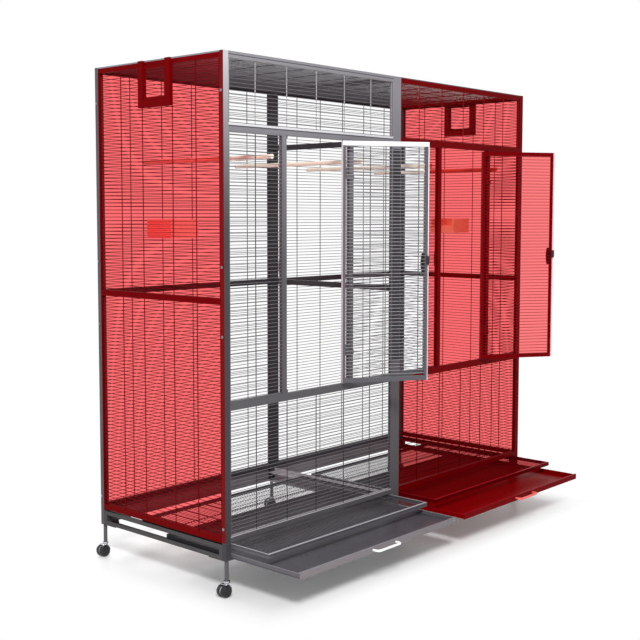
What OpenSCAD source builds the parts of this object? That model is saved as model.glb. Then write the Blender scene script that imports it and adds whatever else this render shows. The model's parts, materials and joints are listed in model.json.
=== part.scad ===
// Double breeding cage for canaries, on casters, with its doors open and its trays drawn.
// The cage stands on z = 0, its front faces -Y and x counts from the left bay to the right bay.

/* [Overall] */
// Width of one bay, the cage has two
bay_w = 850; // [700:5:1000]
// Depth of the cage from the front face to the rear face
cage_d = 628; // [520:2:760]
// Height of the cage from the floor to the top rail
cage_h = 1676; // [1600:2:1800]
// Height at which the upper panels stand on the lower ones
mid_z = 920; // [860:2:980]

/* [Tube and rails] */
// Width of a corner post
post_w = 22; // [18:1:30]
// Depth of the posts and of the front and rear panels
frame_t = 16; // [14:1:22]
// Wall of the post tube
post_wall = 1.2; // [0.8:0.1:2]
// Depth of the end panels
end_t = 15; // [12:1:20]
// Height of the top rails
top_rail = 20; // [14:1:26]
// Height of each rail where an upper panel meets a lower one
mid_rail = 10; // [8:1:16]
// Height of the bottom rails
low_rail = 18; // [12:1:24]
// Height of the two rails that frame the door from above and below
door_rail = 24; // [16:1:30]
// Width of the flat strip along a post
edge_strip = 3; // [2:0.5:6]
// Depth of those strips
edge_t = 9; // [7:0.5:14]
// Gap between a panel and its neighbours
panel_gap = 0.3; // [0.2:0.1:1]

/* [Wire mesh] */
// Spacing of the close wires
pitch = 12; // [10:0.5:16]
// Diameter of the close wires
wire_d = 2; // [1.5:0.1:3]
// Diameter of the wires that cross them
cross_d = 3; // [2:0.1:4]
// Distance from the face of a panel to its close wires
wire_set = 4; // [3:0.5:6]
// Thickness of the tinted sheets behind the mesh
sheet_t = 1.2; // [0.8:0.1:2]

/* [Door] */
// Distance from a bay's left side to its door opening
door_x = 276; // [200:1:320]
// Width of the door opening
door_w = 314; // [240:1:340]
// Bottom of the door opening
door_z = 606; // [560:1:660]
// Height of the door opening
door_h = 832; // [700:1:860]
// Width of the uprights beside the door
jamb_w = 19; // [14:1:26]
// Width of the door leaf's top and bottom bars
leaf_rail = 15; // [12:1:20]
// Width of the door leaf's two uprights
leaf_stile = 11; // [9:0.5:16]
// Gap round the closed door leaf
door_gap = 2.5; // [1.5:0.5:6]
// Angle of the drawn-open leaf to the front face
door_rest = 33.5; // [20:0.5:60]
// Distance of the hinge line in front of the front face
hinge_out = 7; // [6:0.5:10]
// Distance of the hinge line from the upright beside the door
hinge_set = 24; // [22:0.5:30]
// Diameter of the hinge barrels
barrel_d = 9; // [8:0.5:11]
// Diameter of the hinge pins
pin_d = 5; // [3:0.5:6]
// Length of a hinge knuckle
knuckle = 18; // [12:1:30]
// Distance of the hinges from the leaf's ends
hinge_in = 110; // [60:5:200]
// Height of the lock above the floor
lock_z = 1019; // [900:1:1100]

/* [Nest-box hatches] */
// Width of the hatch opening
hatch_w = 104; // [80:1:110]
// Height of the hatch opening
hatch_h = 103; // [86:1:130]
// Width of the hatch guides and of the sill under the hatch
guide_w = 26; // [18:1:30]
// Thickness of the sliding hatch
hatch_t = 3; // [2:0.5:4]
// Upward travel of the hatch
hatch_lift = 100; // [60:5:110]

/* [Trays and grates] */
// Width of the gap between a bay's posts and its tray
tray_side_gap = 3; // [2:0.5:6]
// Height of the tray's floor above the ground
tray_z = 118; // [100:1:125]
// Height of the tray's sides
tray_h = 16; // [12:1:24]
// Thickness of the tray's sheet
tray_wall = 1.5; // [1:0.1:3]
// Height of the tray's front plate
tray_lip = 20; // [16:1:26]
// Distance by which the trays are drawn out
tray_out = 290; // [0:5:400]
// Underside of the grates
grate_z = 151.5; // [145:0.5:152]
// Height of the grate's frame
grate_h = 14; // [12:1:16]
// Distance by which the grates are drawn out
grate_out = 164; // [0:2:300]
// Length of the tray handles
handle_l = 118; // [80:2:200]
// Distance of a handle's bar from the tray
handle_out = 22; // [16:1:30]
// Diameter of the handle's bar
handle_d = 8; // [6:0.5:12]

/* [Legs and casters] */
// Diameter of the legs
leg_d = 13; // [12:0.2:13.4]
// Total height of a caster
caster_h = 50; // [46:1:60]
// Diameter of the caster wheels
wheel_d = 41; // [36:1:44]
// Distance of the wheel's axle behind the caster's stem
trail = 11; // [6:0.5:14]
// Diameter of the caster's stem
stem_d = 8; // [6:0.5:8]

/* [Fittings] */
// Diameter of the perches
perch_d = 15; // [10:1:18]
// Height of the perches, which take the nearest wire
perch_h = 1363; // [1300:1:1400]
// Distance of the left perch from the left side of its bay
perch_x1 = 210; // [160:1:235]
// Distance of the right perch from the left side of its bay
perch_x2 = 655; // [625:1:690]
// Height of the wooden shelves above the floor
shelf_z = 1109; // [1000:1:1180]
// Height of the shelves' sides
shelf_h = 60; // [30:1:80]
// Width of the wooden shelves
shelf_w = 118; // [90:1:130]
// Depth of the wooden shelves
shelf_d = 115; // [60:1:150]
// Thickness of the shelves' boards
board = 8; // [5:0.5:12]

/* [Hidden] */

fine = 48;
coarse = 16;
cage_w = 2 * bay_w;
run = 0.3;                              // running clearance
bite = 1;                               // how far a wire's end sits in its rail
weld_gap = 0.2;                         // between a close wire and the wires that cross it
cross_set = wire_set + wire_d / 2 + weld_gap + cross_d / 2;
sheet_set = cross_set + cross_d / 2 + run;
mesh_grid = bay_w / 6;                  // spacing of the upright wires across a bay
rear_y = cage_d - frame_t;
centre_y = cage_d / 2;
leg_z = caster_h;                       // where the legs end
post_z = 116;                           // where the posts end
low_z = 169;                            // underside of the lowest rails
hatch_z = cage_h - top_rail - hatch_h;  // bottom of the hatch opening
leg_in = 40;                            // how far a leg reaches into its post
stem_l = 36;
door_top = door_z + door_h;

// End panels: uprights stand beside the hatch and halfway on to the posts.
hatch_side = hatch_w / 2 + guide_w - 4;
end_run = cage_d - 2 * frame_t;
end_wires = [-(hatch_side + 110), -hatch_side, hatch_side, hatch_side + 110];

// Runners: an angle under the tray and one under the grate, with a gusset at each end.
gusset_l = 78;
gusset_w = 70;
gusset_tip = 20;
gusset_t = 3;
runner_reach = post_w + tray_side_gap + 11;
runner_t = 1.5;
runner_web = 13;

// Trays and grates fill the width between the posts.
tray_x = post_w + tray_side_gap;
tray_w = bay_w - 2 * tray_x;
tray_d = rear_y - 12;
lip_z = tray_z - 1.5;
grate_bar = 3;
grate_front = 8;

// Leaf and hinge
hinge_leaf = 4;
leaf_w = door_w - 2 * door_gap;
leaf_h = door_h - 4 * door_gap;
leaf_z = door_z + 2 * door_gap;
hinge_x = door_x + door_w - hinge_set;
hinge_levels = [leaf_z + hinge_in, leaf_z + leaf_h - hinge_in];
door_turn = 180 - door_rest;

// Lock: a shaft through the leaf's free upright with a knob outside and a tongue inside.
lock_in = leaf_stile / 2;
shaft_d = 6;
case_t = 6;
case_h = 66;
case_w = 13;
keeper_t = 5.5;
stop_h = 23;
tongue_t = 3;
tongue_z = frame_t + keeper_t + 2 * run;
knob_d = 13;
knob_t = 9;
lever_l = 26;
tongue_l = 24;

// Hatch
guide_wall = 2;
guide_out = guide_wall + hatch_t + 2 * run + guide_wall;
hatch_lap = 11;
hatch_plate = hatch_w + 2 * hatch_lap;
hatch_plate_h = hatch_h + 6;

// Casters
wheel_r = wheel_d / 2;
plate_t = 5;
wheel_gap = 0.7;
wheel_half = 17;
wheel_tread = 6;
axle_d = 5;
axle_run = 0.1;
hood_t = 2;
leg_spots = [
    [post_w / 2, frame_t / 2],
    [bay_w - (post_w + panel_gap) / 2, frame_t / 2],
    [cage_w - post_w / 2, frame_t / 2],
    [post_w / 2, cage_d - frame_t / 2],
    [bay_w - (post_w + panel_gap) / 2, cage_d - frame_t / 2],
    [cage_w - post_w / 2, cage_d - frame_t / 2]];

// Bolts
bolt_d = 5;
bolt_levels = [214, mid_z - 108, mid_z + 105, cage_h - 119];

// The perches take the wire nearest to their height.
perch_z = pitch * round(perch_h / pitch);

// Middle of the drawn-out cage's own box, which the origin lies under
x_low = post_w / 2 - trail - wheel_r;
x_high = max(cage_w + guide_out, bay_w + hinge_x + (leaf_w + door_gap) * cos(door_rest));
y_low = -tray_out - handle_out - handle_d / 2;
y_high = cage_d - frame_t / 2 + wheel_half;
mid = [(x_low + x_high) / 2, (y_low + y_high) / 2, 0];

grey = [0.36, 0.35, 0.36];
red = [0.5, 0.02, 0.03];
tint = [0.9, 0.25, 0.25, 0.5];
pale = [0.85, 0.85, 0.86];
wood = [0.80, 0.66, 0.55];
black = [0.06, 0.06, 0.07];
chrome = [0.75, 0.76, 0.78];
steel = [0.6, 0.6, 0.62];

module at_origin() { translate(-mid) children(); }

// ---- Tube, rails and mesh -------------------------------------------------

module post(h) {
    difference() {
        cube([post_w, frame_t, h]);
        translate([post_wall, post_wall, -1])
            cube([post_w - 2 * post_wall, frame_t - 2 * post_wall, h + 1 - 3]);
    }
}

module mid_pair(y) {
    for (x = [bay_w - post_w - panel_gap / 2, bay_w + panel_gap / 2])
        translate([x, y, post_z]) post(cage_h - post_z);
}

// A corner post is drilled through its outer wall for the bolts.
module corner_post(y) {
    translate([0, y, post_z]) difference() {
        post(cage_h - post_z);
        for (z = bolt_levels) translate([-1, frame_t / 2, z - post_z]) rotate([0, 90, 0])
            cylinder(d = bolt_d + 2 * run, h = post_wall + 2, $fn = fine);
    }
}

// A flat panel lies in XY with its outer face down at z = 0. bars gives the widths of its
// bottom, top, left and right bars. The close wires run along x and lie on multiples of the
// pitch counted from base, the crossing wires stand behind them at the places in ups.
module panel(w, h, t, bars, ups, base = 0) {
    inner_h = h - bars[0] - bars[1];
    first = ceil((base + bars[0] + wire_d) / pitch) * pitch - base;
    difference() {
        cube([w, h, t]);
        translate([bars[2], bars[0], -1]) cube([w - bars[2] - bars[3], inner_h, t + 2]);
        if (bars[2] == edge_strip) translate([-1, bars[0], edge_t]) cube([edge_strip + 2, inner_h, t]);
        if (bars[3] == edge_strip) translate([w - edge_strip - 1, bars[0], edge_t])
            cube([edge_strip + 2, inner_h, t]);
    }
    for (v = [first : pitch : h - bars[1] - wire_d])
        translate([bars[2] - bite, v, wire_set]) rotate([0, 90, 0])
            cylinder(d = wire_d, h = w - bars[2] - bars[3] + 2 * bite, $fn = coarse);
    for (u = ups)
        translate([u, bars[0] - bite, cross_set]) rotate([-90, 0, 0])
            cylinder(d = cross_d, h = inner_h + 2 * bite, $fn = coarse);
}

// A tinted sheet that lies behind a panel's crossing wires, inside its bars
module sheet(w, h, bars) {
    translate([bars[2] + run, bars[0] + run, sheet_set])
        cube([w - bars[2] - bars[3] - 2 * run, h - bars[0] - bars[1] - 2 * run, sheet_t]);
}

// Stands a flat panel up: facing the front, the rear, the left end or the right end.
module facing_front(x, z) { translate([x, 0, z]) rotate([90, 0, 0]) mirror([0, 0, 1]) children(); }
module facing_rear(x, z) { translate([x, cage_d, z]) rotate([90, 0, 0]) children(); }
module facing_left(y, z) {
    translate([0, y, z]) rotate([90, 0, 90]) children();
}
module facing_right(y, z) {
    translate([cage_w, y, z]) mirror([1, 0, 0]) rotate([90, 0, 90]) children();
}

function grid_wires(from, to, x0) = [for (k = [1:5]) if (k * mesh_grid > from && k * mesh_grid < to)
    k * mesh_grid - x0];

bay_x = post_w + panel_gap;             // where the panels start in a bay
bay_run = bay_w - 2 * bay_x;

module fascia() {
    facing_front(bay_x, door_top) panel(bay_run, cage_h - door_top, frame_t,
        [door_rail, top_rail, edge_strip, edge_strip], grid_wires(bay_x, bay_w, bay_x), door_top);
}

module lower_front() {
    facing_front(bay_x, low_z) panel(bay_run, door_z - low_z, frame_t,
        [low_rail, door_rail, edge_strip, edge_strip], grid_wires(bay_x, bay_w, bay_x), low_z);
}

module side_lights() {
    z = door_z + panel_gap;
    h = door_h - 2 * panel_gap;
    x2 = door_x + door_w;
    facing_front(bay_x, z) panel(door_x - bay_x, h, frame_t,
        [edge_strip, edge_strip, edge_strip, jamb_w],
        grid_wires(bay_x, door_x - jamb_w, bay_x), z);
    facing_front(x2, z) panel(bay_w - bay_x - x2, h, frame_t,
        [edge_strip, edge_strip, jamb_w, edge_strip],
        grid_wires(x2 + jamb_w, bay_w - bay_x, x2), z);
}

module rear_upper() {
    facing_rear(bay_x, mid_z) panel(bay_run, cage_h - mid_z, frame_t,
        [mid_rail, top_rail, edge_strip, edge_strip], grid_wires(bay_x, bay_w, bay_x), mid_z);
}

module rear_lower() {
    facing_rear(bay_x, low_z) panel(bay_run, mid_z - panel_gap - low_z, frame_t,
        [low_rail, mid_rail, edge_strip, edge_strip], grid_wires(bay_x, bay_w, bay_x), low_z);
}

function end_bars(bottom, top) = [bottom, top, edge_strip, edge_strip];

module end_lower() {
    panel(end_run - 2 * panel_gap, mid_z - panel_gap - low_z, end_t, end_bars(low_rail, mid_rail),
        [for (w = end_wires) end_run / 2 - panel_gap + w], low_z);
}

module end_lower_sheet() {
    sheet(end_run - 2 * panel_gap, mid_z - panel_gap - low_z, end_bars(low_rail, mid_rail));
}

// The upper end panel has a way cut through its mesh for the nest-box hatch, framed by two
// uprights and a sill.
module end_upper() {
    w = end_run - 2 * panel_gap;
    h = cage_h - mid_z;
    way = [w / 2 - hatch_w / 2, hatch_z - mid_z];
    difference() {
        union() {
            panel(w, h, end_t, end_bars(mid_rail, top_rail),
                [for (u = end_wires) w / 2 + u], mid_z);
            translate([way[0] - guide_w, way[1] - guide_w, 0])
                cube([hatch_w + 2 * guide_w, h - way[1] + guide_w - top_rail + bite, 6]);
        }
        translate([way[0], way[1], -1]) cube([hatch_w, h - way[1] - top_rail, end_t + 2]);
    }
}

// The upper sheet is cut out round the hatch.
module end_upper_sheet() {
    w = end_run - 2 * panel_gap;
    h = cage_h - mid_z;
    difference() {
        sheet(w, h, end_bars(mid_rail, top_rail));
        translate([w / 2 - hatch_w / 2 - 4, hatch_z - mid_z - 4, 0]) cube([hatch_w + 8, h, end_t]);
    }
}

module end_sheets() {
    facing_left(frame_t + panel_gap, low_z) end_lower_sheet();
    facing_left(frame_t + panel_gap, mid_z) end_upper_sheet();
}

module leaf_sheet() {
    inside_out() facing_front(door_x + door_gap, leaf_z) sheet(leaf_w, leaf_h,
        [leaf_rail, leaf_rail, leaf_stile, leaf_stile]);
}

module roof() {
    w = bay_run;
    d = end_run - 2 * panel_gap;
    translate([bay_x, frame_t + panel_gap, cage_h - 4]) mirror([0, 0, 1])
        panel(w, d, 10, [12, 12, 12, 12], [for (k = [1:5]) k * mesh_grid - bay_x], 0);
}

// ---- Base -----------------------------------------------------------------

module runner_profile(reach) {
    for (z = [post_z, grate_z - runner_t]) translate([0, z]) {
        square([reach, runner_t]);
        square([runner_t, runner_web]);
    }
}

module along_depth() {
    translate([0, rear_y - panel_gap, 0]) rotate([90, 0, 0])
        linear_extrude(end_run - 2 * panel_gap) children();
}

// A side runner is open between its two angles, which end blocks hold apart. Its gussets
// lie round the legs, under the posts.
module side_runner() {
    block = 14;
    difference() {
        union() {
            along_depth() runner_profile(runner_reach);
            for (y = [frame_t + panel_gap, rear_y - panel_gap - block])
                translate([0, y, post_z]) cube([post_w - 2, block, grate_z - post_z]);
            for (side = [0, 1]) translate([0, side * cage_d, post_z - gusset_t])
                mirror([0, side, 0]) linear_extrude(gusset_t)
                    polygon([[0, 0], [gusset_w, 0], [gusset_w, 6], [gusset_tip, gusset_l], [0, gusset_l]]);
        }
        for (s = [leg_spots[0], leg_spots[3]]) translate([s[0], s[1], post_z - gusset_t - 1])
            cylinder(d = leg_d + 2 * run, h = gusset_t + 2, $fn = fine);
    }
}

module mid_runner() {
    along_depth() translate([bay_w, 0]) {
        for (z = [post_z, grate_z - runner_t])
            translate([-runner_reach, z]) square([2 * runner_reach, runner_t]);
        translate([-runner_t, post_z]) square([2 * runner_t, grate_z - post_z + runner_web]);
    }
}

module apron() {
    h = low_z - 2 * panel_gap - post_z;
    translate([bay_x, rear_y, post_z]) {
        translate([0, frame_t - 1.5, 0]) cube([bay_run, 1.5, h]);
        cube([bay_run, frame_t, 1.5]);
        translate([0, 0, h - 1.5]) cube([bay_run, frame_t, 1.5]);
    }
}

module ties() {
    for (z = [mid_z - mid_rail, door_top - 2])
        translate([bay_w - 8, frame_t + panel_gap, z])
            cube([16, end_run - 2 * panel_gap, 2 * mid_rail]);
}

module leg() {
    difference() {
        translate([0, 0, leg_z]) cylinder(d = leg_d, h = post_z + leg_in - leg_z, $fn = fine);
        translate([0, 0, leg_z - 1]) cylinder(d = stem_d + 2 * run, h = stem_l + 9, $fn = fine);
    }
}

// ---- Hatch ----------------------------------------------------------------

// Two channels, open to each other, stand on a sill outside the end panel.
module guides() {
    z = hatch_z - guide_w;
    h = cage_h - z;
    half = hatch_w / 2;
    translate([0, centre_y, z]) for (side = [-1, 1]) scale([1, side, 1]) {
        translate([-guide_wall, half, 0]) cube([guide_wall, guide_w, h]);
        translate([-guide_out, half + hatch_lap + run, 0])
            cube([guide_out, guide_w - hatch_lap - run, h]);
        translate([-guide_out, half + 2, 0]) cube([guide_wall, guide_w - 2, h]);
    }
    translate([-guide_out, centre_y - half - 1, z]) cube([guide_out, hatch_w + 2, guide_w - 4]);
}

module hatch() {
    x = -guide_wall - run - hatch_t;
    w = hatch_plate;
    h = hatch_plate_h;
    rim = hatch_lap + 3;
    translate([x, centre_y - w / 2, hatch_z - 4 + run]) {
        difference() {
            cube([hatch_t, w, h]);
            translate([-1, rim, 10]) cube([hatch_t + 2, w - 2 * rim, h - 20]);
        }
        for (v = [10 + pitch : pitch : h - 12])
            translate([hatch_t / 2, rim - bite, v]) rotate([-90, 0, 0])
                cylinder(d = wire_d, h = w - 2 * rim + 2 * bite, $fn = coarse);
    }
}

// ---- Door -----------------------------------------------------------------

// The door's parts are drawn closed, about the hinge line, and then turned open.
module hung() {
    translate([hinge_x, -hinge_out, 0]) rotate([0, 0, door_turn])
        translate([-hinge_x, hinge_out, 0]) children();
}

// A leaf's wires lie on its inner side.
module inside_out() { translate([0, frame_t, 0]) mirror([0, 1, 0]) children(); }

module leaf() {
    x0 = door_x + door_gap;
    lock_x = x0 + lock_in;
    difference() {
        union() {
            inside_out() facing_front(x0, leaf_z) panel(leaf_w, leaf_h, frame_t,
                [leaf_rail, leaf_rail, leaf_stile, leaf_stile], [leaf_w / 2], leaf_z);
            for (z = hinge_levels) {
                translate([hinge_x + 1, -hinge_leaf, z + run])
                    cube([hinge_set - 2 * door_gap - 1, hinge_leaf + 0.5, knuckle]);
                translate([hinge_x, -hinge_out, z + run])
                    cylinder(d = barrel_d, h = knuckle, $fn = fine);
            }
        }
        for (z = hinge_levels) translate([hinge_x, -hinge_out, z - 1])
            cylinder(d = pin_d + 2 * run, h = knuckle + 3, $fn = fine);
        translate([lock_x, -1, lock_z]) rotate([-90, 0, 0])
            cylinder(d = shaft_d + 2 * run, h = frame_t + 2, $fn = fine);
    }
}

// Lower knuckle with its pin, on an arm that is screwed to the upright beside the door
module bracket(z) {
    translate([hinge_x, -hinge_out, z - knuckle]) {
        cylinder(d = barrel_d, h = knuckle, $fn = fine);
        cylinder(d = pin_d, h = 2 * knuckle + 3, $fn = fine);
    }
    translate([hinge_x + 1, -hinge_leaf, z - knuckle])
        cube([hinge_set + jamb_w - 3, hinge_leaf - run, knuckle]);
    translate([hinge_x + hinge_set + 2, -hinge_leaf, z - knuckle])
        cube([jamb_w - 4, hinge_leaf, knuckle]);
}

// Half-round case on the outside of the leaf's free upright
module lock_case() {
    x0 = door_x + door_gap;
    translate([x0 + 0.5, -case_t, lock_z]) rotate([-90, 0, 0]) difference() {
        linear_extrude(case_t) intersection() {
            translate([-2 * case_h + case_w + 8, 0]) circle(r = 2 * case_h, $fn = 96);
            translate([0, -case_h / 2]) square([case_w + 20, case_h]);
        }
        translate([lock_in - 0.5, 0, -1]) cylinder(d = shaft_d + 2 * run, h = case_t + 2, $fn = fine);
    }
}

module latch() {
    translate([door_x + door_gap + lock_in, 0, lock_z]) rotate([-90, 0, 0]) {
        translate([0, 0, -case_t - run - knob_t]) cylinder(d = knob_d, h = knob_t, $fn = fine);
        translate([-2, -lever_l, -case_t - run - knob_t]) cube([4, lever_l, 5]);
        translate([0, 0, -case_t - knob_t]) cylinder(d = shaft_d, h = tongue_z + case_t + knob_t + 1, $fn = fine);
        translate([0, 0, tongue_z]) linear_extrude(tongue_t) union() {
            circle(d = 12, $fn = fine);
            translate([-6, -tongue_l]) square([12, tongue_l]);
        }
    }
}

// Catch on the back of the upright beside the lock: the tongue turns behind it
module keeper() {
    keeper_w = jamb_w - 3;
    translate([door_x, frame_t, lock_z]) rotate([-90, 0, 0])
        linear_extrude(keeper_t) intersection() {
            translate([2 * case_h - keeper_w, 0]) circle(r = 2 * case_h, $fn = 96);
            translate([-keeper_w, -case_h / 2]) square([keeper_w, case_h]);
        }
}

// Tabs on the rails above and below the door, which the closed leaf meets
module stops() {
    reach = 2 * door_gap + 4;
    for (z = [door_z - stop_h + reach, door_top - reach])
        translate([door_x + 12, frame_t, z]) cube([9, 3, stop_h]);
}

// ---- Trays and grates -----------------------------------------------------

module tray() {
    z = tray_z + run;
    translate([tray_x, -tray_out, 0]) {
        difference() {
            translate([0, 0, z]) cube([tray_w, tray_d, tray_h]);
            translate([tray_wall, tray_wall, z + tray_wall])
                cube([tray_w - 2 * tray_wall, tray_d - 2 * tray_wall, tray_h]);
        }
        translate([0, 0, lip_z]) cube([tray_w, 2, tray_lip]);
        translate([0, 0, lip_z + tray_lip - 1.5]) cube([tray_w, 6, 1.5]);
    }
}

// Bow handle: a bar with quarter bends that end square on the tray's front plate
module handle() {
    bend = 12;
    half = handle_l / 2;
    foot = handle_out - bend;
    translate([tray_x + tray_w / 2, -tray_out, lip_z + tray_lip / 2]) {
        translate([-half + bend, -handle_out, 0]) rotate([0, 90, 0])
            cylinder(d = handle_d, h = handle_l - 2 * bend, $fn = fine);
        for (side = [0, 1]) mirror([side, 0, 0]) {
            translate([half - bend, -foot, 0]) rotate([0, 0, -90])
                rotate_extrude(angle = 90, $fn = fine) translate([bend, 0]) circle(d = handle_d, $fn = fine);
            translate([half, 0, 0]) rotate([90, 0, 0]) cylinder(d = handle_d, h = foot, $fn = fine);
        }
    }
}

module grate() {
    z = grate_z + run;
    wire_z = z + grate_h - 3;
    translate([tray_x, -grate_out, 0]) {
        difference() {
            translate([0, 0, z]) cube([tray_w, tray_d, grate_h]);
            translate([grate_bar, grate_front, z - 1])
                cube([tray_w - 2 * grate_bar, tray_d - grate_front - grate_bar, grate_h + 2]);
        }
        for (x = [grate_bar + pitch : pitch : tray_w - grate_bar - wire_d])
            translate([x, grate_front - bite, wire_z]) rotate([-90, 0, 0])
                cylinder(d = wire_d, h = tray_d - grate_front - grate_bar + 2 * bite, $fn = coarse);
        for (k = [1:3]) translate([grate_bar - bite, k * tray_d / 4,
                wire_z - wire_d / 2 - weld_gap - cross_d / 2]) rotate([0, 90, 0])
            cylinder(d = cross_d, h = tray_w - 2 * grate_bar + 2 * bite, $fn = coarse);
    }
}

// ---- Casters --------------------------------------------------------------

// Outline of one wheel half, grown by g: flat where it rolls and domed to the side
module wheel_half_profile(g) {
    intersection() {
        translate([0, plate_t / 2 + wheel_gap]) square([wheel_r + g, wheel_half]);
        square([2 * wheel_r, wheel_half + g]);
        union() {
            square([wheel_r + g, wheel_tread]);
            translate([0, wheel_tread]) circle(r = wheel_r + g, $fn = fine);
        }
    }
}

module about_axle() { translate([-trail, 0, wheel_r]) rotate([90, 0, 0]) children(); }

// Both hood bands hug their wheel halves and end in the plate between them.
module hood() {
    about_axle() for (side = [0, 1]) mirror([0, 0, side]) rotate_extrude($fn = fine) difference() {
        intersection() {
            square([wheel_r + wheel_gap + hood_t, wheel_tread + 6]);
            union() {
                square([wheel_r + wheel_gap + hood_t, wheel_tread]);
                translate([0, wheel_tread]) circle(r = wheel_r + wheel_gap + hood_t, $fn = fine);
            }
        }
        square([wheel_r + wheel_gap, wheel_tread]);
        translate([0, wheel_tread]) circle(r = wheel_r + wheel_gap, $fn = fine);
    }
}

// Stem, collar, the plate between the wheel halves and the hood over them
module caster_body() {
    difference() {
        union() {
            translate([0, 0, leg_z - 2 * run]) cylinder(d = stem_d, h = stem_l, $fn = fine);
            translate([0, 0, leg_z - run - 6]) cylinder(d = 20, h = 6, $fn = fine);
            difference() {
                translate([0, 0, wheel_r]) cylinder(d = 15, h = leg_z - run - wheel_r - 1, $fn = fine);
                about_axle() for (side = [0, 1]) mirror([0, 0, side])
                    rotate_extrude($fn = fine) wheel_half_profile(wheel_gap);
            }
            about_axle() translate([0, 0, -plate_t / 2]) cylinder(r = wheel_r - 2, h = plate_t, $fn = fine);
            intersection() {
                hood();
                translate([-trail - 6, -1.5 * wheel_r, wheel_r + 1]) cube([3, 3, 2] * wheel_r);
            }
        }
        about_axle() translate([0, 0, -10]) cylinder(d = axle_d + 2 * axle_run, h = 20, $fn = fine);
    }
}

// Two wheel halves on one axle
module wheels() {
    about_axle() {
        for (side = [0, 1]) mirror([0, 0, side]) rotate_extrude($fn = fine) wheel_half_profile(0);
        translate([0, 0, -10]) cylinder(d = axle_d, h = 20, $fn = fine);
    }
}

// ---- Fittings -------------------------------------------------------------

// A perch spans the cage. A kerf in each end grips a close wire of the front and of the rear.
module perch(x) {
    y0 = wire_set - 4;
    length = cage_d - 2 * y0;
    kerf = wire_d + 2 * run;
    translate([x, y0, perch_z]) difference() {
        rotate([-90, 0, 0]) cylinder(d = perch_d, h = length, $fn = fine);
        for (y = [-1, length - 7]) translate([-perch_d, y, -kerf / 2]) cube([2 * perch_d, 8, kerf]);
    }
}

// An open box of boards that is screwed to the end panel through its sheet
module shelf() {
    x = sheet_set + sheet_t + run;
    translate([x, centre_y - shelf_w / 2, shelf_z]) difference() {
        cube([shelf_d, shelf_w, shelf_h]);
        translate([board, board, board]) cube([shelf_d - 2 * board, shelf_w - 2 * board, shelf_h]);
        translate([shelf_d - board - 1, board, shelf_h / 2]) cube([board + 2, shelf_w - 2 * board, shelf_h]);
    }
}

// Cap screw: its head lies on the post's side
module bolt(y, z) {
    translate([0, y, z]) rotate([0, -90, 0]) {
        cylinder(d = 9, h = 2.5, $fn = fine);
        translate([0, 0, -post_wall - 6]) cylinder(d = bolt_d, h = post_wall + 7, $fn = fine);
    }
}

module mirrored() { translate([cage_w, 0, 0]) mirror([1, 0, 0]) children(); }

module both_ends() {
    children();
    mirrored() children();
}

module both_bays() {
    for (x = [0, bay_w]) translate([x, 0, 0]) children();
}

module in_bay(i) { translate([i * bay_w, 0, 0]) children(); }

module at_leg(i) { translate([leg_spots[i][0], leg_spots[i][1], 0]) children(); }

// ---- Nodes ----------------------------------------------------------------

module front_left_post() { color(grey) corner_post(0); }
module front_mid_posts() { color(grey) mid_pair(0); }
module front_right_post() { color(red) mirrored() corner_post(0); }
module rear_posts() { color(grey) { both_ends() corner_post(rear_y); mid_pair(rear_y); } }
module legs() { color(grey) for (i = [0:5]) at_leg(i) leg(); }

module hatch_guides() { color(red) both_ends() guides(); }
module hinge_brackets() { color(steel) both_bays() for (z = hinge_levels) bracket(z); }
module lock_keepers() { color(black) both_bays() { keeper(); stops(); } }
module rear_aprons() { color(grey) both_bays() apron(); }
module perches() { color(wood) both_bays() for (x = [perch_x1, perch_x2]) perch(x); }
module wooden_shelves() { color(wood) both_ends() shelf(); }
module bolts() {
    color(steel) both_ends() for (y = [frame_t / 2, cage_d - frame_t / 2], z = bolt_levels) bolt(y, z);
}

at_origin() front_left_post();
at_origin() front_mid_posts();
at_origin() front_right_post();
at_origin() rear_posts();
at_origin() legs();

at_origin() color(grey) fascia();  // left_fascia
at_origin() color(red) in_bay(1) fascia();  // right_fascia
at_origin() color(grey) side_lights();  // left_side_lights
at_origin() color(red) in_bay(1) side_lights();  // right_side_lights
at_origin() color(grey) lower_front();  // left_lower_front
at_origin() color(red) in_bay(1) lower_front();  // right_lower_front
at_origin() color(grey) rear_upper();  // left_rear_upper
at_origin() color(grey) in_bay(1) rear_upper();  // right_rear_upper
at_origin() color(grey) rear_lower();  // left_rear_lower
at_origin() color(grey) in_bay(1) rear_lower();  // right_rear_lower
at_origin() color(red) facing_left(frame_t + panel_gap, mid_z) end_upper();  // left_end_upper
at_origin() color(red) facing_right(frame_t + panel_gap, mid_z) end_upper();  // right_end_upper
at_origin() color(red) facing_left(frame_t + panel_gap, low_z) end_lower();  // left_end_lower
at_origin() color(red) facing_right(frame_t + panel_gap, low_z) end_lower();  // right_end_lower
at_origin() color(tint) end_sheets();  // left_end_sheets
at_origin() color(tint) mirrored() end_sheets();  // right_end_sheets
at_origin() color(tint) in_bay(1) hung() leaf_sheet();  // right_door_sheet
at_origin() color(grey) both_bays() roof();  // roofs
at_origin() rear_aprons();
at_origin() color(grey) ties();  // centre_ties

at_origin() color(grey) side_runner();  // left_runner
at_origin() color(grey) mid_runner();
at_origin() color(grey) mirrored() side_runner();  // right_runner

at_origin() hatch_guides();
at_origin() color(red) hatch();  // left_hatch
at_origin() color(red) mirrored() hatch();  // right_hatch

at_origin() hinge_brackets();
at_origin() lock_keepers();
at_origin() color(pale) hung() leaf();  // left_door
at_origin() color(red) in_bay(1) hung() leaf();  // right_door
at_origin() color(black) hung() lock_case();  // left_lock_case
at_origin() color(black) in_bay(1) hung() lock_case();  // right_lock_case
at_origin() color(black) hung() latch();  // left_latch
at_origin() color(black) in_bay(1) hung() latch();  // right_latch

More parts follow.
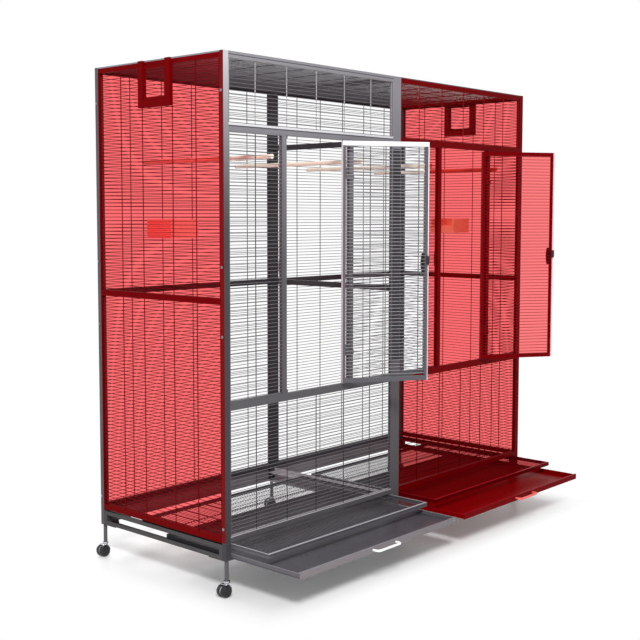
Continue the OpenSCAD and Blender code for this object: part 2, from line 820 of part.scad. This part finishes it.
at_origin() color(grey) tray();  // left_tray
at_origin() color(red) in_bay(1) tray();  // right_tray
at_origin() color(pale) handle();  // left_handle
at_origin() color(red) in_bay(1) handle();  // right_handle
at_origin() color(grey) grate();  // left_grate
at_origin() color(red) in_bay(1) grate();  // right_grate

at_origin() perches();
at_origin() wooden_shelves();
at_origin() bolts();

at_origin() color(chrome) at_leg(0) caster_body();  // caster_fl
at_origin() color(chrome) at_leg(1) caster_body();  // caster_fm
at_origin() color(chrome) at_leg(2) caster_body();  // caster_fr
at_origin() color(chrome) at_leg(3) caster_body();  // caster_rl
at_origin() color(chrome) at_leg(4) caster_body();  // caster_rm
at_origin() color(chrome) at_leg(5) caster_body();  // caster_rr
at_origin() color(black) at_leg(0) wheels();  // wheel_fl
at_origin() color(black) at_leg(1) wheels();  // wheel_fm
at_origin() color(black) at_leg(2) wheels();  // wheel_fr
at_origin() color(black) at_leg(3) wheels();  // wheel_rl
at_origin() color(black) at_leg(4) wheels();  // wheel_rm
at_origin() color(black) at_leg(5) wheels();  // wheel_rr
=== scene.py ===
import bpy
import bmesh
import json
import math
from mathutils import Matrix, Vector


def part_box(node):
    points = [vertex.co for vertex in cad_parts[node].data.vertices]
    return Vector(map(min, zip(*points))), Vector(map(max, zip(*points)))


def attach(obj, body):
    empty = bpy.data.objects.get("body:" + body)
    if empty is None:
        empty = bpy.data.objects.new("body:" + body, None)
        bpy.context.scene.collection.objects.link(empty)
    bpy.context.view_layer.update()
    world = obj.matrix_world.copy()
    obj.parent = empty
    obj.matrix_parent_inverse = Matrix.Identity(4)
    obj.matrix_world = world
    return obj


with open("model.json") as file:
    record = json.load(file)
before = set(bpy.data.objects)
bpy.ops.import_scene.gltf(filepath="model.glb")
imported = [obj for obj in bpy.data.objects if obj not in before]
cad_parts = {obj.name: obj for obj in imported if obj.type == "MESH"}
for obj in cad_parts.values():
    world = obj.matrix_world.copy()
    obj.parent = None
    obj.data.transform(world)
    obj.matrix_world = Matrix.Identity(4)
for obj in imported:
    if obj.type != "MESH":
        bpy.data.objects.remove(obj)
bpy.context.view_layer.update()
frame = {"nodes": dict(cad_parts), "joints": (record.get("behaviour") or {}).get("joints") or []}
nodes = frame["nodes"]
print("frame loaded:", len(nodes), "nodes")


class Wire:
    def __init__(self, tree, socket):
        self.tree = tree
        self.socket = socket

    def maths(self, operation, other, flipped=False):
        node = self.tree.nodes.new("ShaderNodeMath")
        node.operation = operation
        pair = (other, self) if flipped else (self, other)
        for slot, value in zip(node.inputs, pair):
            plug(self.tree, slot, value)
        return Wire(self.tree, node.outputs[0])

    def __add__(self, other):
        return self.maths("ADD", other)

    def __radd__(self, other):
        return self.maths("ADD", other)

    def __sub__(self, other):
        return self.maths("SUBTRACT", other)

    def __rsub__(self, other):
        return self.maths("SUBTRACT", other, True)

    def __mul__(self, other):
        return self.maths("MULTIPLY", other)

    def __rmul__(self, other):
        return self.maths("MULTIPLY", other)

    def __gt__(self, other):
        return self.maths("GREATER_THAN", other)

    def __lt__(self, other):
        return self.maths("LESS_THAN", other)

    def clamped(self):
        return self.maths("MAXIMUM", 0.0).maths("MINIMUM", 1.0)

    def size(self):
        return self.maths("ABSOLUTE", 0.0)


def plug(tree, slot, value):
    if isinstance(value, Wire):
        tree.links.new(value.socket, slot)
    elif isinstance(value, tuple) and slot.type == "RGBA" and len(value) == 3:
        slot.default_value = (*value, 1.0)
    else:
        slot.default_value = value


class Shading:
    # the nodes of a material or of the world
    def __init__(self, owner, outputKind):
        owner.use_nodes = True
        self.owner = owner
        self.tree = owner.node_tree
        self.tree.nodes.clear()
        self.output = self.tree.nodes.new(outputKind)

    def add(self, kind, settings=None, values=None, out=0):
        node = self.tree.nodes.new(kind)
        for key, value in (settings or {}).items():
            setattr(node, key, value)
        for key, value in (values or {}).items():
            plug(self.tree, node.inputs[key], value)
        return Wire(self.tree, node.outputs[out])

    def close(self, shader):
        self.tree.links.new(shader.socket, self.output.inputs["Surface"])
        return self.owner


class Finish(Shading):
    def __init__(self, name):
        super().__init__(bpy.data.materials.new(name), "ShaderNodeOutputMaterial")
        self.place = self.add("ShaderNodeTexCoord", out="Object")

    def axis(self, index, place=None):
        return self.add("ShaderNodeSeparateXYZ", None, {0: place or self.place}, out=index)

    def noise(self, scale, detail, roughness, place=None):
        return self.add("ShaderNodeTexNoise", None, {
            "Vector": place or self.place, "Scale": scale, "Detail": detail, "Roughness": roughness})

    def mix(self, factor, first, second):
        # sockets 6 and 7 and output 2 are the Mix node's colours
        return self.add("ShaderNodeMix", {"data_type": "RGBA"}, {0: factor, 6: first, 7: second}, out=2)

    def bump(self, height, distance, strength):
        return self.add("ShaderNodeBump", None, {
            "Strength": strength, "Distance": distance, "Height": height})

    def principled(self, **values):
        named = {key.replace("_", " "): value for key, value in values.items()}
        return self.add("ShaderNodeBsdfPrincipled", None, named)

    def clear(self, colour):
        return self.add("ShaderNodeBsdfTransparent", None, {"Color": colour})

    def blend(self, factor, first, second):
        return self.add("ShaderNodeMixShader", None, {0: factor, 1: first, 2: second})

    def glow(self, strength):
        return self.add("ShaderNodeEmission", None, {"Color": (1.0, 1.0, 1.0), "Strength": strength})


def linear(*rgb):
    # an sRGB colour written as 0-255 becomes the linear colour a shader takes
    def one(v):
        v /= 255
        return v / 12.92 if v <= 0.04045 else ((v + 0.055) / 1.055) ** 2.4
    return tuple(one(v) for v in rgb)


def between(value, low, high):
    return (value > low) * (value < high)


def rising(value, low, high):
    return ((value - low) * (1 / (high - low))).clamped()


# The photograph's red covers a flat area, so inside the right bay it begins at slanted upright planes:
# past the middle posts, past the drawn left leaf and past the right front post.
# Each plane is given by its slope and where it starts; the left leaf also ends at two heights.
redPlanes = {"posts": (1.3017, 0.2374), "leaf": (1.3683, 0.4085), "corner": (1.6457, 1.1206)}
leafHeights = (0.444, 1.505)


def redFrom(plane):
    slope, start = redPlanes[plane]
    return lambda f: (f.axis(0) - f.axis(1) * slope) > start


def endRed(f):
    # the right end isn't red where the drawn left leaf lies before it
    low, high = leafHeights
    return (redFrom("leaf")(f) + (f.axis(2) < low) + (f.axis(2) > high)).clamped()


def lowerRed(f):
    # nor is the top of the right lower front's rail, where that leaf lies before it
    return (redFrom("leaf")(f) + (f.axis(2) < panelLook["lowRail"])).clamped()


# rear, roof and runner are darker copies of the grey, painted shade; apron and bright are lighter copies,
# painted light; the grey's top tone is painted light too
coatTones = {
    "grey": (82, 80, 83), "greyWorn": (96, 94, 98), "greyPaintedHighlight": (134, 132, 138),
    "rear": (54, 52, 56), "rearWorn": (66, 64, 68),
    "roof": (68, 66, 70), "roofWorn": (82, 80, 84),
    "apron": (112, 108, 112), "apronWorn": (128, 124, 128),
    "runner": (64, 62, 62), "runnerWorn": (84, 82, 82),
    "bright": (176, 174, 179), "brightWorn": (192, 190, 195),
    "red": (98, 0, 3), "redWorn": (116, 2, 6),
}
coatLook = {
    "greyHighlightRise": (1.05, 1.62),
    "cloud": (6.0, 4.0, 0.6), "cloudShare": 0.7,
    "rub": (38.0, 5.0, 0.7), "rubShare": 0.5, "cleanShare": 0.15,
    "peel": (900.0, 2.0, 0.4), "peelDeep": 0.00015, "peelShare": 0.35,
    "rough": 0.38, "panRough": 0.3, "roughSpan": 0.18, "gloss": 0.09, "redGloss": 0.02,
}


def powder(f, tone, worn):
    # slow clouds in a coat's tone, and places rubbed a little lighter
    cloud = f.noise(*coatLook["cloud"]) * coatLook["cloudShare"]
    rub = f.noise(*coatLook["rub"]) * coatLook["rubShare"]
    return f.mix((cloud + rub - coatLook["cleanShare"]).clamped(), linear(*tone), linear(*worn))


def powderOf(name):
    return lambda f: powder(f, coatTones[name], coatTones[name + "Worn"])


def greyPowderPaintedLight(f):
    # painted light: the grey lightens towards the top of the cage
    rise = rising(f.axis(2), *coatLook["greyHighlightRise"])
    return f.mix(rise, powderOf("grey")(f), linear(*coatTones["greyPaintedHighlight"]))


redPowder = powderOf("red")


def split(where, first, second):
    # the first shade, and the second where the mask is on
    return lambda f: f.mix(where(f), first(f), second(f))


def coat(name, shadeOf, gloss="gloss", rough="rough"):
    f = Finish(name)
    rub = f.noise(*coatLook["rub"])
    peel = f.noise(*coatLook["peel"])
    span = coatLook["roughSpan"]
    return f.close(f.principled(
        Base_Color=shadeOf(f), Roughness=rub * span + (coatLook[rough] - span / 2),
        Specular_IOR_Level=coatLook[gloss], Normal=f.bump(peel, coatLook["peelDeep"], coatLook["peelShare"])))


panelLook = {
    # how far behind the front face the close and the crossing upright wires lie, and from what height the
    # uprights get a painted highlight
    "close": (0.0025, 0.0052), "upright": (0.0052, 0.0086), "lit": 1.44,
    "greyClose": (106, 104, 108), "greyUpright": (52, 50, 54), "greyLit": (178, 177, 182),
    "redClose": (96, 2, 6), "redUpright": (72, 0, 4), "redLit": (160, 30, 34),
    # lines of another tone along the rails: from, to, tone; the left fascia's dark lines are painted shade
    # and its pale line a painted highlight, the sill's pale line is a painted highlight, the right fascia's
    # line is grey
    "leftFascia": ((1.665, 1.668, (76, 74, 78)), (1.4515, 1.4555, (78, 76, 80)),
                   (1.4555, 1.463, (204, 204, 208))),
    "rightFascia": ((1.673, 1.677, (104, 100, 102)),),
    "sill": ((0.1845, 0.1875, (176, 174, 178)),),
    "lowRail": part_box("right_lower_front")[1].z - 0.013,
    "endTop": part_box("left_end_upper")[1].z - 0.0045,
}


def wireTone(colour, kind):
    # a front panel's crossing upright wires are darker, and over the doors they get a painted highlight where
    # they catch the light
    def toneOf(f):
        plain = linear(*panelLook[colour + kind.title()])
        if kind == "close":
            return plain
        return f.mix(f.axis(2) > panelLook["lit"], plain, linear(*panelLook[colour + "Lit"]))
    return toneOf


def frontPanel(name, frameOf, wires, lines=(), gloss="gloss"):
    # wires is "grey", "red" or "both", which turns red past the left leaf
    def shadeOf(f):
        shade = frameOf(f)
        for low, high, tone in lines:
            shade = f.mix(between(f.axis(2), low, high), shade, linear(*tone))
        depth = f.axis(1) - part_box("left_fascia")[0].y
        for kind in ("close", "upright"):
            grey, red = wireTone("grey", kind), wireTone("red", kind)
            toneOf = {"grey": grey, "red": red, "both": split(redFrom("leaf"), grey, red)}[wires]
            shade = f.mix(between(depth, *panelLook[kind]), shade, toneOf(f))
        return shade
    return coat(name, shadeOf, gloss)


postLook = {
    "skin": 0.0004, "foot": 0.17, "light": (182, 182, 187), "dusk": (66, 64, 67), "rise": (1.05, 1.66),
    "shaded": (56, 54, 58), "shadedFrom": (0.66, 1.42), "rearCorner": -0.8,
}


def cornerPost(f):
    # the left corner post has a red outer side, and its front face carries painted light, lightest at the top
    # and darkest at the foot
    rise = rising(f.axis(2), *postLook["rise"])
    front = f.mix(rise * rise, linear(*postLook["dusk"]), linear(*postLook["light"]))
    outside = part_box("front_left_post")[0].x + postLook["skin"]
    outer = (f.axis(0) < outside) * (f.axis(2) > postLook["foot"])
    return f.mix(outer, front, redPowder(f))


def midPosts(f):
    # painted shadow: the middle posts are dark where the drawn leaf shades them
    shaded = between(f.axis(2), *postLook["shadedFrom"])
    return f.mix(shaded, greyPowderPaintedLight(f), linear(*postLook["shaded"]))


def rearPosts(f):
    # painted shade: the rear posts are darker, as they stand in the shade of the mesh, apart from the left
    # corner post
    return f.mix(f.axis(0) < postLook["rearCorner"], powderOf("rear")(f), powderOf("grey")(f))


hinges = {joint["name"]: joint["pos_m"] for joint in frame["joints"] if joint["name"].endswith("door_swing")}
leafLook = {
    # measured in the leaf's own place, turned back to shut about its hinge
    "turn": 146.5, "wires": (0.0178, 0.0202),
    "freeSide": -0.2875, "hungSide": 0.0215, "height": (0.611, 1.433),
    # widths of the pale edges, which are painted highlights: a width under nothing leaves that edge dark
    "left": {"tone": (84, 83, 88), "worn": (98, 97, 102), "wire": (150, 148, 153), "gloss": "gloss",
             "lowEdge": (200, 188, 196), "highEdge": (240, 238, 243),
             "hung": 0.0006, "free": 0.003, "top": 0.015},
    "right": {"tone": (100, 0, 5), "worn": (120, 4, 10), "wire": (146, 14, 20), "gloss": "redGloss",
              "lowEdge": (242, 176, 182), "highEdge": (242, 176, 182),
              "hung": -0.001, "free": 0.005, "top": -0.001},
}


def leafCoat(side):
    # some of the leaf's outer edges get a painted highlight, that brightens upward on the left leaf, and its
    # wires are painted lighter as lit; the rest of it is its bay's colour
    look = leafLook[side]
    hinge = hinges[side + "_door_swing"]

    def shadeOf(f):
        place = f.add("ShaderNodeMapping", {"vector_type": "TEXTURE"}, {
            "Vector": f.place, "Location": (hinge[0], hinge[1], 0.0),
            "Rotation": (0.0, 0.0, math.radians(leafLook["turn"]))})
        across = f.axis(0, place)
        depth = f.axis(1, place)
        upward = f.axis(2)
        pale = ((across < leafLook["freeSide"] + look["free"])
                + (across > leafLook["hungSide"] - look["hung"])
                + (upward > leafLook["height"][1] - look["top"])).clamped()
        rise = rising(upward, *leafLook["height"])
        edge = f.mix(rise, linear(*look["lowEdge"]), linear(*look["highEdge"]))
        body = powder(f, look["tone"], look["worn"])
        shade = f.mix(between(depth, *leafLook["wires"]), body, linear(*look["wire"]))
        return f.mix(pale, shade, edge)
    return coat(side + "LeafCoat", shadeOf, look["gloss"])


panLook = {
    "grey": {"floor": (64, 62, 68), "wall": (96, 93, 99), "rim": (136, 134, 139), "lip": (126, 120, 123)},
    "red": {"floor": (126, 0, 2), "wall": (124, 0, 4), "rim": (150, 18, 24), "lip": (112, 0, 4)},
    "floorDeep": 0.006, "rimDeep": 0.0032, "skin": 0.0006,
}


def pan(node, colour):
    # painted shade on the grey pan's dark floor, a painted highlight on the pale rim, and a front plate of
    # its own tone
    low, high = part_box(node)
    tone = panLook[colour]

    def shadeOf(f):
        floor = powder(f, tone["floor"], tone["wall"])
        shade = f.mix(f.axis(2) > low.z + panLook["floorDeep"], floor, linear(*tone["wall"]))
        shade = f.mix(f.axis(2) > high.z - panLook["rimDeep"], shade, linear(*tone["rim"]))
        return f.mix(f.axis(1) < low.y + panLook["skin"], shade, linear(*tone["lip"]))
    return shadeOf


grateLook = {
    "grey": {"bar": (94, 92, 97), "mesh": (68, 66, 70), "rim": (164, 163, 168)},
    "red": {"bar": (98, 0, 4), "mesh": (78, 0, 3), "rim": (142, 12, 18)},
    "meshDeep": 0.0085, "rimDeep": 0.0012,
}


# painted shade on the grate's top band, mesh and bars alike, under a rim painted pale as a highlight; below
# the band, the bars' tone
def grate(node, colour):
    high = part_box(node)[1]
    tone = grateLook[colour]

    def shadeOf(f):
        mesh = powder(f, tone["mesh"], tone["bar"])
        shade = f.mix(f.axis(2) > high.z - grateLook["meshDeep"], linear(*tone["bar"]), mesh)
        return f.mix(f.axis(2) > high.z - grateLook["rimDeep"], shade, linear(*tone["rim"]))
    return shadeOf


sheetLook = {
    "clear": (1.0, 0.405, 0.415), "doorClear": (1.0, 0.47, 0.475), "film": (0.8, 0.05, 0.06), "share": 0.03,
    "smear": (5.0, 3.0, 0.5), "smearShare": 0.12, "rough": 0.3, "gloss": 0.2,
}


def tintedSheet(name, where=None, clear="clear"):
    # mostly clear red, with a thin film of it on the surface; where, if given, says where it is tinted
    f = Finish(name)
    smear = f.noise(*sheetLook["smear"])
    film = f.principled(
        Base_Color=sheetLook["film"], Roughness=smear * sheetLook["smearShare"] + sheetLook["rough"],
        Specular_IOR_Level=sheetLook["gloss"])
    tinted = f.blend(sheetLook["share"], f.clear(sheetLook[clear]), film)
    if where is None:
        return f.close(tinted)
    return f.close(f.blend(where(f), f.clear((1.0, 1.0, 1.0)), tinted))


woodLook = {
    "perch": {"pale": (255, 250, 236), "dark": (246, 224, 204),
              "redPale": (222, 44, 26), "redDark": (196, 26, 14)},
    "shelf": {"pale": (255, 246, 232), "dark": (246, 224, 204),
              "redPale": (244, 112, 92), "redDark": (226, 84, 64)},
    "stretch": (60.0, 3.0, 60.0), "grain": (1.6, 6.0, 0.65), "pores": (9.0, 2.0, 0.5),
    "grainShare": 1.5, "poreShare": 0.2, "paleShare": 0.35, "rough": 0.5, "gloss": 0.2,
    "grainDeep": 0.0006, "bumpShare": 0.4,
}


def wood(name, kind):
    # grain runs from front to back; the right bay's pieces are stained red
    f = Finish(name)
    tones = woodLook[kind]
    place = f.add("ShaderNodeMapping", None, {"Vector": f.place, "Scale": woodLook["stretch"]})
    grain = f.noise(*woodLook["grain"], place)
    pores = f.noise(*woodLook["pores"], place)
    poring = pores * woodLook["poreShare"]
    blend = (grain * woodLook["grainShare"] - woodLook["paleShare"] + poring).clamped()
    plain = f.mix(blend, linear(*tones["pale"]), linear(*tones["dark"]))
    stained = f.mix(blend, linear(*tones["redPale"]), linear(*tones["redDark"]))
    return f.close(f.principled(
        Base_Color=f.mix(redFrom("leaf")(f), plain, stained), Roughness=poring + woodLook["rough"],
        Specular_IOR_Level=woodLook["gloss"],
        Normal=f.bump(grain, woodLook["grainDeep"], woodLook["bumpShare"])))


platedLook = {"haze": (120.0, 4.0, 0.6), "swirl": (14.0, 3.0, 0.5), "dull": 0.86, "hazeShare": 0.16}


def plated(name, colour, rough):
    f = Finish(name)
    haze = f.noise(*platedLook["haze"])
    swirl = f.noise(*platedLook["swirl"])
    dull = [c * platedLook["dull"] for c in colour]
    return f.close(f.principled(
        Base_Color=f.mix(swirl, linear(*colour), linear(*dull)),
        Metallic=1.0, Roughness=haze * platedLook["hazeShare"] + rough))


mouldedLook = {"grain": (700.0, 2.0, 0.5), "scuff": (26.0, 4.0, 0.6), "lighter": (1.1, 6), "scuffShare": 0.2,
               "grainDeep": 0.00008, "bumpShare": 0.4}


def moulded(name, colour, rough):
    f = Finish(name)
    grain = f.noise(*mouldedLook["grain"])
    scuff = f.noise(*mouldedLook["scuff"])
    times, plus = mouldedLook["lighter"]
    light = [min(255, c * times + plus) for c in colour]
    return f.close(f.principled(
        Base_Color=f.mix(scuff, linear(*colour), linear(*light)),
        Roughness=scuff * mouldedLook["scuffShare"] + rough,
        Normal=f.bump(grain, mouldedLook["grainDeep"], mouldedLook["bumpShare"])))


pastPosts = redFrom("posts")
redCoat = coat("redPowderCoat", redPowder, "redGloss")
# painted shade: the rear parts take a darker copy of the grey
rearCoat = coat("paintedShadePowderCoat", powderOf("rear"))
greyFront = frontPanel("greyFrontCoat", greyPowderPaintedLight, "grey", panelLook["sill"])
leftEndCoat = coat(
    "leftEndCoat", split(lambda f: f.axis(2) > panelLook["endTop"], redPowder, greyPowderPaintedLight), "redGloss")
rightEndCoat = coat("rightEndCoat", split(endRed, greyPowderPaintedLight, redPowder), "redGloss")
sheetRed = tintedSheet("redTintedSheet")
zinc = plated("zincPlate", (158, 159, 164), 0.22)
chrome = plated("chromePlate", (214, 216, 222), 0.06)
blackPlastic = moulded("blackPlastic", (16, 16, 18), 0.32)
wheelPlastic = moulded("wheelPlastic", (10, 10, 11), 0.12)

dress = {
    "front_left_post": coat("cornerPostCoat", cornerPost),
    "front_mid_posts": coat("middlePostCoat", midPosts),
    "front_right_post": redCoat,
    "rear_posts": coat("rearPostCoat", rearPosts),
    "legs": coat("greyCoatWithPaintedLight", greyPowderPaintedLight),
    "left_fascia": frontPanel("leftFasciaCoat", greyPowderPaintedLight, "grey", panelLook["leftFascia"]),
    "right_fascia": frontPanel("rightFasciaCoat", redPowder, "red", panelLook["rightFascia"], "redGloss"),
    "left_side_lights": greyFront,
    "right_side_lights": frontPanel(
        "sideLightCoat", split(redFrom("leaf"), greyPowderPaintedLight, redPowder), "both", gloss="redGloss"),
    "left_lower_front": greyFront,
    "right_lower_front": frontPanel(
        "redFrontCoat", split(lowerRed, greyPowderPaintedLight, redPowder), "red", gloss="redGloss"),
    "left_rear_upper": rearCoat, "right_rear_upper": rearCoat,
    "left_rear_lower": rearCoat, "right_rear_lower": rearCoat,
    "left_end_upper": leftEndCoat, "left_end_lower": redCoat,
    "right_end_upper": rightEndCoat, "right_end_lower": rightEndCoat,
    "left_end_sheets": sheetRed,
    "right_end_sheets": tintedSheet("rightEndSheet", endRed),
    "right_door_sheet": tintedSheet("rightDoorSheet", redFrom("corner"), "doorClear"),
    # painted shade: the roof is a darker copy of the grey
    "roofs": coat("roofCoat", split(pastPosts, powderOf("roof"), redPowder), "redGloss"),
    # painted light: the aprons are a lighter copy of the grey
    "rear_aprons": coat("apronCoat", split(pastPosts, powderOf("apron"), redPowder), "redGloss"),
    "centre_ties": rearCoat,
    # painted shade: the left runner is a darker copy of the grey
    "left_runner": coat("runnerCoat", powderOf("runner")),
    # painted light: the middle runner is a lighter copy of the grey
    "mid_runner": coat("brightPowderCoat", powderOf("bright")),
    "right_runner": redCoat,
    "hatch_guides": redCoat, "left_hatch": redCoat, "right_hatch": redCoat,
    "hinge_brackets": coat("greyAndRedCoat", split(pastPosts, greyPowderPaintedLight, redPowder), "redGloss"),
    "lock_keepers": blackPlastic,
    "left_door": leafCoat("left"), "right_door": leafCoat("right"),
    "left_lock_case": blackPlastic, "right_lock_case": blackPlastic,
    "left_latch": blackPlastic, "right_latch": blackPlastic,
    "left_tray": coat("leftTrayCoat", pan("left_tray", "grey"), "gloss", "panRough"),
    "right_tray": coat(
        "rightTrayCoat", split(pastPosts, pan("right_tray", "grey"), pan("right_tray", "red")),
        "redGloss", "panRough"),
    "left_handle": moulded("whiteGrip", (236, 236, 240), 0.22),
    "right_handle": moulded("redGrip", (236, 92, 84), 0.25),
    "left_grate": coat("leftGrateCoat", grate("left_grate", "grey")),
    "right_grate": coat(
        "rightGrateCoat", split(pastPosts, grate("right_grate", "grey"), grate("right_grate", "red")),
        "redGloss"),
    "perches": wood("perchWood", "perch"), "wooden_shelves": wood("shelfWood", "shelf"),
    "bolts": zinc,
}
for name, piece in nodes.items():
    finish = dress.get(name) or (chrome if name.startswith("caster") else wheelPlastic)
    piece.data.materials.clear()
    piece.data.materials.append(finish)
for name in ("left_end_sheets", "right_end_sheets", "right_door_sheet"):
    nodes[name].visible_shadow = False  # a clear sheet leaves no red cast on the floor and trays
print("materials on", len(nodes), "nodes")


def block(low, high):
    mesh = bmesh.new()
    bmesh.ops.create_cube(mesh, size=1.0)
    bmesh.ops.scale(mesh, vec=[b - a for a, b in zip(low, high)], verts=mesh.verts)
    bmesh.ops.translate(mesh, vec=[(a + b) / 2 for a, b in zip(low, high)], verts=mesh.verts)
    return mesh


def addPiece(name, mesh, finish):
    bmesh.ops.recalc_face_normals(mesh, faces=mesh.faces)
    data = bpy.data.meshes.new(name)
    mesh.to_mesh(data)
    mesh.free()
    data.materials.append(finish)
    piece = bpy.data.objects.new(name, data)
    bpy.context.collection.objects.link(piece)
    return piece


def addSheet(name, mesh, finish, body):
    sheet = addPiece(name, mesh, finish)
    sheet.visible_shadow = False
    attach(sheet, body)


hatchPane = {"thick": 0.0004, "set": 0.00005, "rim": 0.0142, "ends": 0.0102, "corner": 0.002, "segments": 3}


def makeHatchPane(side, inward):
    # a tinted pane in the hatch's frame, against the inner face and clear of its wires
    low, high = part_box(side + "_hatch")
    face = high.x if inward > 0 else low.x
    thick = hatchPane["thick"]
    middle = face - inward * (hatchPane["set"] + thick / 2)
    mesh = block((middle - thick / 2, low.y + hatchPane["rim"], low.z + hatchPane["ends"]),
                 (middle + thick / 2, high.y - hatchPane["rim"], high.z - hatchPane["ends"]))
    corners = [e for e in mesh.edges if abs(e.verts[0].co.x - e.verts[1].co.x) > thick / 2]
    bmesh.ops.bevel(mesh, geom=corners, offset=hatchPane["corner"], segments=hatchPane["segments"],
                    profile=0.5, affect="EDGES", material=-1)
    addSheet(side + "_hatch_pane", mesh, sheetRed, side + "_hatch_slide")


makeHatchPane("left", 1)
makeHatchPane("right", -1)
print("hatch panes in")

grateSheet = {"inset": 0.0031, "front": 0.0082, "low": 0.1526, "high": 0.1530}


def makeGrateSheet():
    # a tinted sheet in the right grate, under its mesh and inside its bars
    low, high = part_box("right_grate")
    inset = grateSheet["inset"]
    mesh = block((low.x + inset, low.y + grateSheet["front"], grateSheet["low"]),
                 (high.x - inset, high.y - inset, grateSheet["high"]))
    finish = tintedSheet("rightGrateSheet", pastPosts)
    addSheet("right_grate_sheet", mesh, finish, "right_grate_drawer")


makeGrateSheet()
print("grate sheet in")

endStrip = {"x": (0.8474, 0.8478), "y": (-0.1409, 0.4479), "z": (0.1637, 0.1687)}


def makeEndStrip():
    # a narrow tinted strip between the right end's lower panel and the runner
    mesh = block(*zip(endStrip["x"], endStrip["y"], endStrip["z"]))
    addSheet("right_end_strip", mesh, sheetRed, "cage")


makeEndStrip()
print("end strip in")

lipScrew = {"radius": 0.0036, "taper": 0.86, "tall": 0.0016, "sunk": 0.0001, "inset": 0.013, "segments": 28,
            "round": 0.0006, "roundSegments": 2}


def makeLipScrew():
    # a pan-head screw near the right end of the left tray's front lip
    low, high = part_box("left_tray")
    mesh = bmesh.new()
    bmesh.ops.create_cone(mesh, cap_ends=True, segments=lipScrew["segments"], radius1=lipScrew["radius"],
                          radius2=lipScrew["radius"] * lipScrew["taper"], depth=lipScrew["tall"])
    rim = [e for e in mesh.edges if min(v.co.z for v in e.verts) > 0]
    bmesh.ops.bevel(mesh, geom=rim, offset=lipScrew["round"], segments=lipScrew["roundSegments"],
                    profile=0.5, affect="EDGES", material=-1)
    bmesh.ops.rotate(mesh, cent=(0, 0, 0), matrix=Matrix.Rotation(math.pi / 2, 3, "X"), verts=mesh.verts)
    front = low.y - lipScrew["tall"] / 2 + lipScrew["sunk"]
    place = (high.x - lipScrew["inset"], front, (low.z + high.z) / 2)
    bmesh.ops.translate(mesh, vec=place, verts=mesh.verts)
    screw = addPiece("left_tray_screw", mesh, zinc)
    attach(screw, "left_tray_drawer")


makeLipScrew()
print("lip screw in")

floorLook = {
    "white": (0.92, 0.92, 0.925), "rough": 0.35, "reach": 30.0, "drop": 0.0005, "nearGlow": 0.115,
    # past this box round the cage the floor fades to the backdrop's white
    "half": (0.83, 0.42), "middle": 0.09, "fade": 0.14,
}


def makeFloor():
    mesh = bmesh.new()
    bmesh.ops.create_grid(mesh, x_segments=1, y_segments=1, size=floorLook["reach"])
    data = bpy.data.meshes.new("studioFloor")
    mesh.to_mesh(data)
    mesh.free()
    floor = bpy.data.objects.new("studioFloor", data)
    floor.location.z = -floorLook["drop"]
    bpy.context.collection.objects.link(floor)
    f = Finish("floorWhite")
    camera = f.add("ShaderNodeLightPath", out="Is Camera Ray")
    across = f.axis(0).size() - floorLook["half"][0]
    along = (f.axis(1) - floorLook["middle"]).size() - floorLook["half"][1]
    spread = rising(across.maths("MAXIMUM", along), 0.0, floorLook["fade"])
    paper = f.principled(Base_Color=floorLook["white"], Roughness=floorLook["rough"])
    near = f.add("ShaderNodeAddShader", None, {0: paper, 1: f.glow(camera * floorLook["nearGlow"])})
    data.materials.append(f.close(f.blend(camera * spread, near, f.glow(1.0))))


skyLight = 0.54  # what lights the cage; the camera, metal and sheets see full white


def makeWorld():
    world = bpy.data.worlds.new("studioWorld")
    bpy.context.scene.world = world
    sky = Shading(world, "ShaderNodeOutputWorld")
    seen = sky.add("ShaderNodeLightPath", out="Is Camera Ray")
    for ray in ("Is Glossy Ray", "Is Transmission Ray"):
        seen = seen.maths("MAXIMUM", sky.add("ShaderNodeLightPath", out=ray))
    strength = seen * (1 - skyLight) + skyLight
    sky.close(sky.add("ShaderNodeBackground", None, {"Color": (1.0, 1.0, 1.0), "Strength": strength}))


lampLook = {
    "keyLamp": {"place": (-3.4, -3.1, 3.6), "target": (-0.2, -0.2, 0.4), "size": (0.8, 0.8), "power": 205},
    "rearLamp": {"place": (0.6, 3.2, 4.2), "target": (0, 0.2, 0.8), "size": (2.6, 2.0), "power": 80},
}


def makeLamp(name):
    look = lampLook[name]
    lamp = bpy.data.lights.new(name, "AREA")
    lamp.shape = "RECTANGLE"
    lamp.size = look["size"][0]
    lamp.size_y = look["size"][1]
    lamp.energy = look["power"]
    holder = bpy.data.objects.new(name, lamp)
    holder.location = look["place"]
    facing = Vector(look["target"]) - Vector(look["place"])
    holder.rotation_euler = facing.to_track_quat("-Z", "Y").to_euler()
    bpy.context.collection.objects.link(holder)


cameraLook = {
    "place": (-3.10491, -2.56769, 1.18535), "yaw": 48.26, "pitch": 4.42, "roll": 0.06,
    "focalPixels": 1087.0, "framePixels": 640, "sensor": 36.0, "shiftPixels": -21.45, "farthest": 60,
}


def makeCamera():
    yaw, pitch, roll = (math.radians(cameraLook[k]) for k in ("yaw", "pitch", "roll"))
    forward = Vector((math.sin(yaw) * math.cos(pitch), math.cos(yaw) * math.cos(pitch), -math.sin(pitch)))
    level = Vector((math.cos(yaw), -math.sin(yaw), 0))
    above = level.cross(forward)
    right = level * math.cos(roll) + above * math.sin(roll)
    up = above * math.cos(roll) - level * math.sin(roll)
    data = bpy.data.cameras.new("photoCamera")
    data.sensor_fit = "HORIZONTAL"
    data.sensor_width = cameraLook["sensor"]
    data.lens = cameraLook["sensor"] * cameraLook["focalPixels"] / cameraLook["framePixels"]
    data.shift_y = cameraLook["shiftPixels"] / cameraLook["framePixels"]
    data.clip_end = cameraLook["farthest"]
    camera = bpy.data.objects.new("photoCamera", data)
    turned = Matrix((right, up, -forward)).transposed().to_4x4()
    camera.matrix_world = Matrix.Translation(cameraLook["place"]) @ turned
    bpy.context.collection.objects.link(camera)
    bpy.context.scene.camera = camera


makeFloor()
makeWorld()
for name in lampLook:
    makeLamp(name)
makeCamera()
bpy.context.scene.view_settings.view_transform = "Standard"
print("stage ready")
